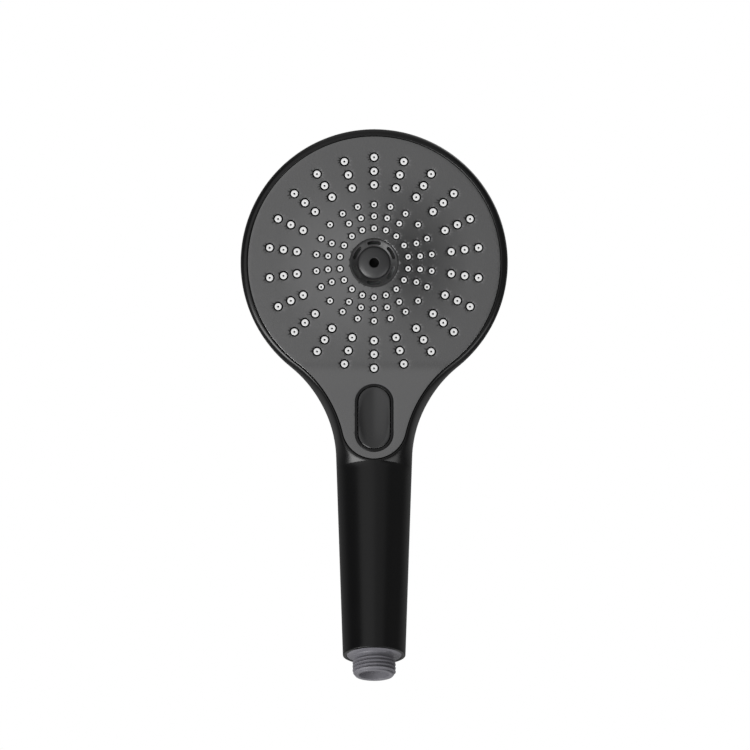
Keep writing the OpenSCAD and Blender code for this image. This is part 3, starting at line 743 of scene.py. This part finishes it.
def spring_mesh(start, end):
    """The spring's wire between two shares of its length, closed by round ends."""
    count = int(spring_turns * turn_steps * (end - start))
    rows = [(start, 0.02), (start, 0.7)]
    rows += [(mix(start, end, i / count), 1.0) for i in range(1, count)]
    rows += [(end, 0.7), (end, 0.02)]
    verts = []
    for share, fill in rows:
        a = 2 * math.pi * spring_turns * share
        for k in range(wire_sides):
            b = 2 * math.pi * k / wire_sides
            r = spring_r + wire_r * fill * math.cos(b)
            z = mix(spring_low, spring_high, share) + wire_r * fill * math.sin(b)
            verts.append(at_button(r * math.cos(a), r * math.sin(a), z))
    faces = grid_faces(len(rows), wire_sides, close_cols=True)
    last = len(verts) - wire_sides
    faces.append(tuple(range(wire_sides)))
    faces.append(tuple(range(last + wire_sides - 1, last - 1, -1)))
    return verts, faces


# ---- inlet -------------------------------------------------------------------------------
thread_root_r = 9.32
thread_pitch = 1.814
inlet_bore_r = 7.2
flange_r = 13.4
flange_t = 2.4
barrel_r = 11.4
collar_r = 13.3
collar_low = inlet_len + 12
collar_high = inlet_len + 14
tube_seat_r = 7.5
throat_r = 6.2
throat_low = 12.0
throat_high = 16.0
thread_end = inlet_len - 1.2
thread_levels = 120
inlet_segs = 144


def thread_radius(t, turn):
    """Radius of the helical thread at height t and turn share, with its run-out and end chamfer."""
    phase = (t / thread_pitch - turn) % 1.0
    wave = abs(phase - 0.5) * 2
    crest = ramp((wave - 0.28) / 0.5)
    fade = ramp((7.9 - t) / 0.9)
    chamfer = 9.15 + 0.8 * max(0.0, t)
    return min(mix(thread_root_r, thread_r, crest * fade), chamfer)


def inlet_mesh():
    verts = []
    for i in range(thread_levels + 1):
        t = thread_end * i / thread_levels
        for k in range(inlet_segs):
            a = 2 * math.pi * k / inlet_segs
            r = thread_radius(t, k / inlet_segs)
            verts.append(at_handle(r * math.cos(a), r * math.sin(a), t))
    rest = [
        (thread_root_r + 0.05, inlet_len - 0.9), (thread_root_r + 0.25, inlet_len - 0.3),
        (thread_root_r + 0.75, inlet_len - 0.02), (flange_r - 0.25, inlet_len), (flange_r, inlet_len + 0.25),
        (flange_r, inlet_len + flange_t), (barrel_r, inlet_len + flange_t), (barrel_r, collar_low),
        (collar_r, collar_low), (collar_r, collar_high), (tube_seat_r, collar_high), (tube_seat_r, throat_high),
        (throat_r, throat_high), (throat_r, throat_low), (inlet_bore_r, throat_low),
        (inlet_bore_r, 0.5), (inlet_bore_r + 0.15, 0.18), (inlet_bore_r + 0.4, 0.0)
    ]
    verts += lathe(rest, inlet_segs, at_handle)[0]
    return verts, grid_faces(thread_levels + 1 + len(rest), inlet_segs, close_rows=True, close_cols=True)


# ---- materials ---------------------------------------------------------------------------
def material(name, colour, rough, metallic=0.0, vary=0.06, rough_vary=0.05, grain=1400.0, bump=0.05,
             specular=0.5, cloud=35.0):
    """A moulded or finished surface: slow drift in colour and in roughness, fine grain in relief."""
    mat = bpy.data.materials.new(name)
    mat.use_nodes = True
    nodes = mat.node_tree.nodes
    links = mat.node_tree.links
    shader = nodes["Principled BSDF"]
    shader.inputs["Metallic"].default_value = metallic
    shader.inputs["Specular IOR Level"].default_value = specular
    coords = nodes.new("ShaderNodeTexCoord")
    slow = nodes.new("ShaderNodeTexNoise")
    slow.inputs["Scale"].default_value = cloud
    slow.inputs["Detail"].default_value = 3
    fine = nodes.new("ShaderNodeTexNoise")
    fine.inputs["Scale"].default_value = grain
    fine.inputs["Detail"].default_value = 2
    links.new(coords.outputs["Object"], slow.inputs["Vector"])
    links.new(coords.outputs["Object"], fine.inputs["Vector"])
    tint = nodes.new("ShaderNodeMix")
    tint.data_type = "RGBA"
    tint.inputs["A"].default_value = [c * (1 - vary) for c in colour] + [1]
    tint.inputs["B"].default_value = [min(1, c * (1 + vary)) for c in colour] + [1]
    links.new(slow.outputs["Fac"], tint.inputs["Factor"])
    links.new(tint.outputs["Result"], shader.inputs["Base Color"])
    spread = nodes.new("ShaderNodeMapRange")
    spread.inputs["To Min"].default_value = rough - rough_vary
    spread.inputs["To Max"].default_value = rough + rough_vary
    links.new(slow.outputs["Fac"], spread.inputs["Value"])
    links.new(spread.outputs["Result"], shader.inputs["Roughness"])
    relief = nodes.new("ShaderNodeBump")
    relief.inputs["Strength"].default_value = bump
    relief.inputs["Distance"].default_value = 0.0001
    links.new(fine.outputs["Fac"], relief.inputs["Height"])
    links.new(relief.outputs["Normal"], shader.inputs["Normal"])
    return mat


SLOTS = {s["node"]: s["material_slot"] for s in record["subparts"]}
LOOKS = {
    "black": material("satin_black", (0.0035, 0.0035, 0.0038), 0.3, specular=0.42, bump=0.08),
    "plate": material("dark_grey_lacquer", (0.23, 0.23, 0.232), 0.17, metallic=0.95, vary=0.03,
                      rough_vary=0.02, bump=0.06),
    "trim": material("polished_black", (0.006, 0.006, 0.0065), 0.25, specular=0.35, bump=0.03),
    "ring": material("satin_black_insert", (0.02, 0.02, 0.0205), 0.4, bump=0.05),
    "core": material("dark_grey_insert", (0.03, 0.03, 0.031), 0.42, bump=0.06),
    # bare black plastic on the plate's sides, also used as painted shade in the nozzle gaps, the nozzle bores
    # and the jet core's passage
    "bare": material("bare_plastic_and_painted_shade", (0.004, 0.004, 0.004), 0.6, specular=0.2, bump=0.1),
    "button": material("button_black", (0.016, 0.016, 0.017), 0.28, specular=1.0, bump=0.05),
    "nozzle": material("pale_silicone", (0.74, 0.74, 0.74), 0.5, bump=0.08),
    "seal": material("black_rubber", (0.012, 0.012, 0.012), 0.6, bump=0.15),
    "engine": material("natural_grey_plastic", (0.5, 0.51, 0.52), 0.45, bump=0.1),
    "valve": material("natural_white_plastic", (0.72, 0.72, 0.7), 0.4, bump=0.1),
    "drive": material("red_plastic", (0.5, 0.05, 0.03), 0.4, bump=0.1),
    "ratchet": material("ivory_plastic", (0.72, 0.62, 0.36), 0.42, bump=0.1),
    "inlet": material("satin_grey_plastic", (0.205, 0.201, 0.223), 0.42, bump=0.12),
    "limiter": material("green_plastic", (0.04, 0.22, 0.08), 0.45, bump=0.1),
    "steel": material("stainless_steel", (0.58, 0.57, 0.55), 0.28, metallic=1.0, bump=0.08),
    "brass": material("plain_brass", (0.72, 0.5, 0.2), 0.3, metallic=1.0, bump=0.08),
}


def dress(obj, look):
    obj.data.materials.clear()
    obj.data.materials.append(LOOKS[look])


def piece(name, mesh, node, body="handset", look=None, merge=0.0, sharp=None, flat_parts=False):
    """A finished piece that stands for one CAD node."""
    obj = make_object(name, *mesh, merge=merge, sharp=sharp)
    slot = SLOTS[node]
    dress(obj, look or slot)
    if flat_parts:
        weighted(obj)
    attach(obj, body)
    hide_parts(node)
    return obj


def paint_passage_shade(obj, radius):
    """Painted shade: the faces of the water passage in the middle are painted dark, where the hole lies in
    shade.
    """
    obj.data.materials.append(LOOKS["bare"])
    for face in obj.data.polygons:
        if math.hypot(face.center.x, face.center.z - face_z * MM) < radius * MM:
            face.material_index = 1


def paint_nozzle_shade(obj, spots):
    """Painted shade: the pale mat is painted dark below the plate's surface and in the nozzles' bores, where
    the gap round each tip and each bore lie in shade.
    """
    obj.data.materials.append(LOOKS["bare"])
    centres = np.array(spots)
    for face in obj.data.polygons:
        x, v = face.center.x / MM, face.center.z / MM - face_z
        surface = face_y - front_y(v) + crown(x, v)
        off_centre = np.min(np.hypot(centres[:, 0] - x, centres[:, 1] - v))
        if face_y - face.center.y / MM < surface + 0.25 or off_centre < orifice_r + 0.02:
            face.material_index = 1


def bare_sides(obj):
    """The finish covers the front; hole walls, edges and the back show the bare plastic."""
    obj.data.materials.append(LOOKS["bare"])
    for face in obj.data.polygons:
        if face.normal.y > -0.9:
            face.material_index = 1


piece("housing_shell", housing_mesh(), "housing", merge=0.002, sharp=50)
bare_sides(piece("spray_face_plate", face_plate_mesh(), "face_plate", sharp=40, flat_parts=True))
outer_mat = mat_mesh(35.9, 56.4, big_spots, big_tip_r, big_hole_r - foot_gap)
inner_mat = mat_mesh(14.2, 30.7, small_spots, small_tip_r, small_hole_r - foot_gap)
# both nozzle mats get painted shade in the gaps round their tips and in their bores
paint_nozzle_shade(piece("outer_nozzles", outer_mat, "outer_nozzle_mat", sharp=55), big_spots)
paint_nozzle_shade(piece("inner_nozzles", inner_mat, "inner_nozzle_mat", sharp=55), small_spots)
piece("slotted_jet_ring", jet_ring_mesh(), "jet_ring", look="ring", sharp=40, flat_parts=True)
jet_core = piece("domed_jet_core", jet_core_mesh(), "jet_core", look="core", merge=0.002, sharp=50)
# painted shade in the jet core's water passage
paint_passage_shade(jet_core, jet_hole_r + 0.01)
piece("button_frame", bezel_mesh(), "button_bezel", sharp=60)
piece("thumb_button", button_mesh(), "select_button", body="button", sharp=60)
piece("hose_inlet", inlet_mesh(), "inlet_connector", sharp=50)
# a pressed spring closes up, so its lower half stays on the lid and its upper half goes in with the button
piece("return_coil_low", spring_mesh(0.0, 0.5), "return_spring", sharp=60)
piece("return_coil_high", spring_mesh(0.5, 1.0), "return_spring", body="button", sharp=60)

replaced = {
    "housing", "face_plate", "outer_nozzle_mat", "inner_nozzle_mat", "jet_ring", "jet_core", "button_bezel",
    "select_button", "inlet_connector", "return_spring",
}
for node, obj in frame["nodes"].items():
    if node not in replaced:
        dress(obj, SLOTS[node])

# ---- stage, light and camera -------------------------------------------------------------
floor_low = -340.0
floor_r = 520.0
floor_rows = [(0.001, floor_low), (floor_r, floor_low)]
floor_disc = lathe(floor_rows, 96, lambda x, y, z: (x, y + face_y, z), closed=False)
floor = make_object("floor", *floor_disc)
floor_look = material("pale_floor", (0.82, 0.82, 0.82), 0.6, vary=0.02, grain=400.0, bump=0.02, cloud=6.0)
floor_glow = floor_look.node_tree.nodes["Principled BSDF"]
floor_glow.inputs["Emission Color"].default_value = (1, 1, 1, 1)
floor_glow.inputs["Emission Strength"].default_value = 0.15
floor.data.materials.append(floor_look)


world = bpy.data.worlds.new("studio")
bpy.context.scene.world = world
world.use_nodes = True
wn = world.node_tree.nodes
wl = world.node_tree.links
wn.clear()


def calc(op, a, b=None):
    """A math node on two links or numbers."""
    node = wn.new("ShaderNodeMath")
    node.operation = op
    for socket, value in zip(node.inputs, (a, b)):
        if value is None:
            continue
        if isinstance(value, (int, float)):
            socket.default_value = value
        else:
            wl.new(value, socket)
    return node.outputs["Value"]


def rise(value, start, end):
    """0 below start, 1 above end, smooth between."""
    node = wn.new("ShaderNodeMapRange")
    node.interpolation_type = "SMOOTHSTEP"
    node.inputs["From Min"].default_value = math.radians(start)
    node.inputs["From Max"].default_value = math.radians(end)
    wl.new(value, node.inputs["Value"])
    return node.outputs["Result"]


direction = wn.new("ShaderNodeTexCoord")
axes = wn.new("ShaderNodeSeparateXYZ")
wl.new(direction.outputs["Generated"], axes.inputs["Vector"])
azimuth = calc("ARCTAN2", axes.outputs["X"], calc("MULTIPLY", axes.outputs["Y"], -1))
elevation = calc("ARCSINE", axes.outputs["Z"])


def soft_box(az, el, soft, strength):
    """A soft light as wide as az and as high as el, in degrees from the front, with a soft edge."""
    shape = strength
    for value, (start, end) in ((azimuth, az), (elevation, el)):
        shape = calc("MULTIPLY", rise(value, start - soft, start + soft), shape)
        shape = calc("MULTIPLY", calc("SUBTRACT", 1, rise(value, end - soft, end + soft)), shape)
    return shape


# azimuth range, elevation range, soft edge and strength of each light, in degrees from the front
LIGHTS = [
    ((-70, -18), (-48, -20), 4, 9.0),
    ((22, 70), (-48, -24), 4, 3.0),
    ((-50, 3), (6, 52), 4, 0.54),
    ((5, 40), (8, 52), 5, 0.3),
    ((45, 95), (-20, 40), 12, 0.1),
    ((-181, -105), (-30, 60), 12, 0.13),
    ((105, 181), (-30, 60), 12, 0.13),
    ((-181, 181), (55, 91), 10, 0.4),
    ((132, 166), (12, 50), 8, 1.0),
]
FILL = 0.06
total = FILL
for box in LIGHTS:
    total = calc("ADD", total, soft_box(*box))
# the large front light stops on a slanted edge just right of and above the camera
slant = calc("ADD", calc("MULTIPLY", azimuth, 0.93), calc("MULTIPLY", elevation, 0.37))
left_of_edge = calc("SUBTRACT", 1, rise(slant, -1.5, 3.5))
front = calc("MULTIPLY", soft_box((-60, 30), (-14, 7), 3, 0.6), left_of_edge)
total = calc("ADD", total, front)

out = wn.new("ShaderNodeOutputWorld")
shown = wn.new("ShaderNodeBackground")
shown.inputs["Color"].default_value = (1, 1, 1, 1)
lit = wn.new("ShaderNodeBackground")
wl.new(total, lit.inputs["Strength"])
lit.inputs["Color"].default_value = (1, 1, 1, 1)
path = wn.new("ShaderNodeLightPath")
blend = wn.new("ShaderNodeMixShader")
wl.new(path.outputs["Is Camera Ray"], blend.inputs["Fac"])
wl.new(lit.outputs["Background"], blend.inputs[1])
wl.new(shown.outputs["Background"], blend.inputs[2])
wl.new(blend.outputs["Shader"], out.inputs["Surface"])

bpy.context.scene.view_settings.view_transform = "Standard"

camera_data = bpy.data.cameras.new("camera")
camera_data.sensor_width = 36
camera_far = 6.0
view_width = 0.3647
aim_x = 0.0004
aim_below_face = 0.0546
camera_data.lens = camera_data.sensor_width * camera_far / view_width
camera_data.clip_end = 50
camera = bpy.data.objects.new("camera", camera_data)
bpy.context.collection.objects.link(camera)
camera.location = (aim_x, face_y * MM - camera_far, face_z * MM - aim_below_face)
camera.rotation_euler = (math.pi / 2, 0, 0)
bpy.context.scene.camera = camera
